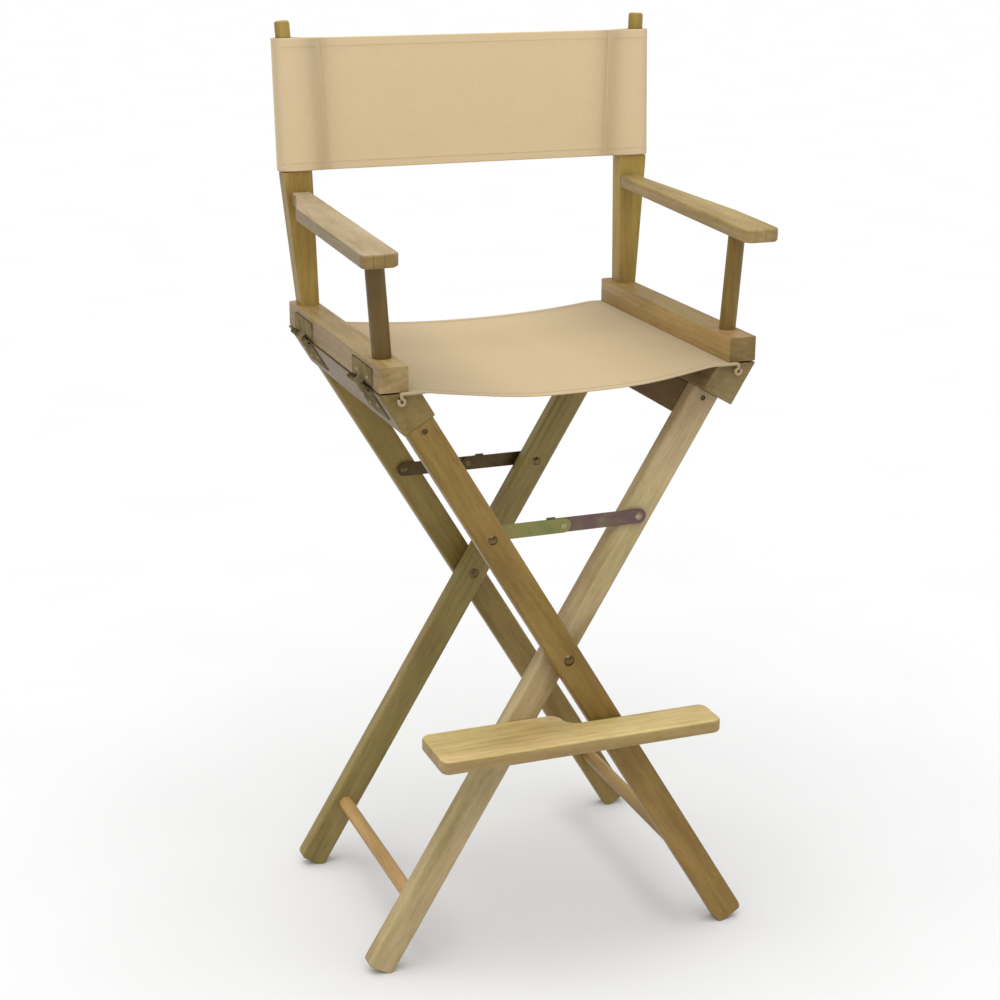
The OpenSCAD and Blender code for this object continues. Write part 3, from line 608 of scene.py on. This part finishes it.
# painted shade: the seat canvas gets a darker copy of the back canvas colour, to cancel the stronger light on its
# upward face; the seat thread follows it
SEAT_BASE_SHADED = (0.490, 0.378, 0.219)
BACK_BASE = (0.702, 0.547, 0.332)
# painted shade: the seat darkens towards its sides by the arm rails; the back gets darker bands where it curves over
# the posts and at its turned edges
seat_cloth = canvas_mat("canvas_seat", SEAT_BASE_SHADED, painted_shade_bands=[(0.243, 0.115, 0.060, -0.26)])
back_cloth = canvas_mat("canvas_back", BACK_BASE, painted_shade_bands=[(0.0, 0.198, 0.019, 0.27), (0.0, 0.255, 0.011, 0.26)])
seat_thread = thread_mat("thread_seat", tuple(c * 1.02 for c in SEAT_BASE_SHADED))
back_thread = thread_mat("thread_back", tuple(c * 1.0 for c in BACK_BASE))

# seat: from the loop round the left hem rod, up its slot, across and down to the right one
RX, RZ = 0.214, 0.7525
r_loop = 0.00275 + 0.0002 + 0.0006
CZ = 0.76205
Y0, Y1 = -0.1668, 0.2225
ys, y = [], Y0
steps = [0, .0012, .003, .006, .0098, .0112, .0124, .0145]
ys = [Y0 + s for s in steps]
span = (Y1 - Y0) - 2 * steps[-1]
ys += [Y0 + steps[-1] + span * k / 30 for k in range(1, 30)]
ys += [Y1 - s for s in reversed(steps)]
HALF = 0.1895
LIP = 0.0045


def seat_row(yv):
    t = (yv - Y0) / (Y1 - Y0)
    sag = 0.0185 - 0.0075 * t + 0.0012 * math.sin(math.pi * t)
    left = []
    for a in range(13):
        q = rad(-215 + 305 * a / 12)
        left.append(Vector((-RX + r_loop * math.cos(q), yv, RZ + r_loop * math.sin(q))))
    left[-1] = Vector((-RX, yv, RZ + r_loop + 0.0004))
    for z in (0.7578, 0.7597, 0.7611):
        left.append(Vector((-RX, yv, z)))
    left += [Vector((-RX + 0.0005, yv, CZ - 0.00035)), Vector((-RX + 0.0014, yv, CZ)), Vector((-0.207, yv, CZ)), Vector((-0.199, yv, CZ))]
    xs = [-HALF + 2 * HALF * k / 56 for k in range(57)]
    mid_ = []
    for x in xs:
        u = x / HALF
        shape = (1 - u * u)
        soft = 0.012
        d = HALF - abs(x)
        ease = 1 if d > soft else (d / soft)
        z = CZ - sag * shape * (0.35 + 0.65 * ease if d < soft else 1.0) if d > 0 else CZ
        # faint pull lines running in from the rails and a slight ripple along the front
        pull = 0.00055 * noise.noise(Vector((x * 7, yv * 26, 3.1))) * (1 - abs(u) ** 6)
        ripple = 0.0007 * math.exp(-((yv - Y0) / 0.03)) * math.sin(x * 38 + 0.7) * (1 - u ** 4)
        mid_.append(Vector((x, yv, z + pull + ripple)))
    rightp = [Vector((-p.x, p.y, p.z)) for p in reversed(left)]
    out = left + mid_ + rightp
    # the thick corner of the hem pushes out a little past the front ends of the rails
    k = LIP * max(0.0, 1 - (yv - Y0) / 0.010)
    for p_ in out:
        w = min(1.0, max(0.0, (abs(p_.x) - 0.176) / 0.012))
        p_.y -= k * w * w * (3 - 2 * w)
    return out


cols = [seat_row(yv) for yv in ys]
P = [[cols[j][i] for j in range(len(ys))] for i in range(len(cols[0]))]
mj = len(ys) // 2
du = [0.0]
for i in range(1, len(P)):
    du.append(du[-1] + (P[i][mj] - P[i - 1][mj]).length)
UV = [[(du[i], ys[j] - Y0) for j in range(len(ys))] for i in range(len(P))]


def seat_thick(i, j):
    a = abs(P[i][j].x)
    if a < 0.188:
        return 0.0011 + hem(min(ys[j] - Y0, Y1 - ys[j]))
    lip = {0: 0.0024, 1: 0.0022, 2: 0.0012}.get(j, 0.0)
    return 0.0011 + max(lip, hem(min(ys[j] - Y0, Y1 - ys[j])) if a < 0.198 else 0.0)


bm, uvl = cloth_solid("seat", P, UV, seat_thick, None)
lo_i = next(i for i in range(len(P)) if P[i][mj].x > -0.186 and i > 15)
hi_i = next(i for i in range(len(P) - 1, 0, -1) if P[i][mj].x < 0.186)
for j in (4, len(ys) - 5):
    for sgn in (1,):
        pts = [P[i][j] + Vector((0, 0, sgn * 0.00090)) for i in range(lo_i, hi_i + 1)]
        stitch_row(bm, uvl, pts, [Vector((0, 0, sgn))] * len(pts))
seat = finish_cloth("seat_sling", bm, [seat_cloth, seat_thread])
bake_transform(seat, "outer_frame", "inner_frame", start=(-0.19, 0, 0.76), end=(0.19, 0, 0.76))
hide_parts("seat_canvas")

# back: two sleeves round the post tips and the panel between them
POST = {-1: (220, math.tan(rad(3.45))), 1: (227, math.tan(rad(2.3)))}
OUT = {-1: (4.8, -3.0), 1: (5.5, -2.3)}
LY = rad(2)


def back_pt(X, dy, Z):
    return Vector((X * MM, (197 + dy * math.cos(LY) + Z * math.sin(LY)) * MM, (793 - dy * math.sin(LY) + Z * math.cos(LY)) * MM))


ZB, ZT = 172.5, 335.5
SEAM = 43.0
SLEEVE = [(-43.0, -9.7), (-39, -9.85), (-34, -10.35), (-28, -11.5), (-22, -12.7), (-16, -13.5), (-10, -13.9), (-4, -14.0), (2, -13.8), (7, -13.1), (11, -11.7),
          (14.2, -9.2), (16.4, -6.0), (17.6, -2.4), (17.9, 1.2), (17.3, 4.8), (15.6, 8.0), (12.8, 10.6), (9, 12.2), (4, 12.9), (-2, 12.9), (-8, 12.3), (-14, 10.8),
          (-20, 8.2), (-26, 4.4), (-31, 0.6), (-35, -3.0), (-39, -6.2), (-42.5, -8.1), (-46, -8.35)]
zs = [ZB + s for s in (0, 1.2, 3, 6, 9.8, 11.2, 12.4, 15)]
zs += [ZB + 15 + (ZT - ZB - 30) * k / 14 for k in range(1, 14)]
zs += [ZT - s for s in (15, 12.4, 11.2, 9.8, 6, 3, 1.2, 0)]


def smooth_path(pts, n=3):
    out = []
    for k in range(len(pts) - 1):
        p0, p1, p2, p3 = pts[max(k - 1, 0)], pts[k], pts[k + 1], pts[min(k + 2, len(pts) - 1)]
        for s in range(n):
            t = s / n
            out.append(tuple(0.5 * (2 * b + (c - a) * t + (2 * a - 5 * b + 4 * c - d) * t * t + (3 * b - a - 3 * c + d) * t ** 3) for a, b, c, d in zip(p0, p1, p2, p3)))
    out.append(pts[-1])
    return out


for side, sg in (("left", -1), ("right", 1)):
    path = smooth_path(SLEEVE, 2)
    P = []
    for k, (dx, dy) in enumerate(path):
        row = []
        for Z in zs:
            wav = 0.25 * noise.noise(Vector((dx * 0.05 + sg * 9, Z * 0.03, 1.7))) if 2 < k < len(path) - 3 else 0.0
            # the sleeves hang straighter than the posts lean, so they stand off more at the bottom than at the top
            u = (Z - ZB) / (ZT - ZB)
            w = min(1.0, max(0.0, (dx + 12) / 28))
            reach = (OUT[sg][0] * (1 - u) + OUT[sg][1] * u) * w * w * (3 - 2 * w)
            row.append(back_pt(sg * (POST[sg][0] + Z * POST[sg][1] + dx + reach), dy + wav, Z))
        P.append(row)
    du = [0.0]
    for i in range(1, len(P)):
        du.append(du[-1] + (P[i][10] - P[i - 1][10]).length)
    UV = [[(sg * (0.19 + du[i]), (Z - ZB) * MM) for Z in zs] for i in range(len(P))]
    bm, uvl = cloth_solid("s", P, UV, lambda i, j: 0.0011 + hem(min(zs[j] - ZB, ZT - zs[j]) * MM, extra=0.0002, soft=0.004), None)
    i_s = min(range(len(path) // 2), key=lambda k: abs(path[k][0] + 40.0))
    pts = [P[i_s][j] + Vector((0, -0.00068, 0)) for j in range(3, len(zs) - 3)]
    stitch_row(bm, uvl, pts, [Vector((0, -1, 0))] * len(pts))
    for j in (4, len(zs) - 5):
        pts = [P[i][j] + Vector((0, -0.00078, 0)) for i in range(i_s, 26)]
        stitch_row(bm, uvl, pts, [Vector((0, -1, 0))] * len(pts))
    ob = finish_cloth("back_sleeve_" + side, bm, [back_cloth, back_thread])
    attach(ob, side + "_arm")

nx = 60
P, UV = [], []
for k in range(nx + 1):
    u = -1 + 2 * k / nx
    row, ruv = [], []
    for Z in zs:
        xl, xr = -(POST[-1][0] + Z * POST[-1][1] - SEAM), POST[1][0] + Z * POST[1][1] - SEAM
        X = xl + (xr - xl) * (u + 1) / 2
        fade = min(1.0, (1 - abs(u)) * 6)
        wav = fade * (0.9 * noise.noise(Vector((u * 1.7, Z * 0.006, 5.2))) + 0.35 * noise.noise(Vector((u * 6, Z * 0.02, 8.8))))
        row.append(back_pt(X, -9.55 + 0.9 * (1 - u * u) + wav, Z))
        ruv.append((X * MM, (Z - ZB) * MM))
    P.append(row)
    UV.append(ruv)
bm, uvl = cloth_solid("p", P, UV, lambda i, j: 0.0011 + hem(min(zs[j] - ZB, ZT - zs[j]) * MM, extra=0.0002, soft=0.004), None)
for j in (4, len(zs) - 5):
    pts = [P[i][j] + Vector((0, -0.00078, 0)) for i in range(nx + 1)]
    stitch_row(bm, uvl, pts, [Vector((0, -1, 0))] * len(pts))
panel = finish_cloth("back_panel", bm, [back_cloth, back_thread])
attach(panel, "left_arm")
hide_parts("back_canvas")
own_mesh(panel)


# ------------------------------------------------------------------ floor and light
floor_me = bpy.data.meshes.new("floor")
floor_me.from_pydata([(-60, -60, 0), (60, -60, 0), (60, 60, 0), (-60, 60, 0)], [], [(0, 1, 2, 3)])
floor = bpy.data.objects.new("floor", floor_me)
floor.location.z = -0.0005
SC.collection.objects.link(floor)
fm = Mat("floor_pale")
fn = fm.noise(fm.n("ShaderNodeTexCoord").outputs["Object"], 3, 2)
fm.l(fm.ramp(fn, [(0.3, (0.69, 0.69, 0.69)), (0.7, (0.71, 0.71, 0.71))]), fm.b.inputs["Base Color"])
fm.b.inputs["Roughness"].default_value = 0.9
fm.b.inputs["Specular IOR Level"].default_value = 0.1
floor_me.materials.append(fm.m)

world = bpy.data.worlds.new("studio")
world.use_nodes = True
SC.world = world
bg = world.node_tree.nodes["Background"]
bg.inputs[0].default_value = (1.0, 1.0, 1.0, 1)
bg.inputs[1].default_value = 0.62


sun = bpy.data.lights.new("softbox_above", "SUN")
sun.energy = 0.85 * math.pi
sun.angle = rad(75)
so = bpy.data.objects.new("softbox_above", sun)
SC.collection.objects.link(so)
so.rotation_euler = Vector((-0.15, -0.20, 1.0)).to_track_quat("Z", "Y").to_euler()

SC.view_settings.view_transform = "Standard"
SC.view_settings.look = "None"
SC.view_settings.exposure = 0
SC.view_settings.gamma = 1
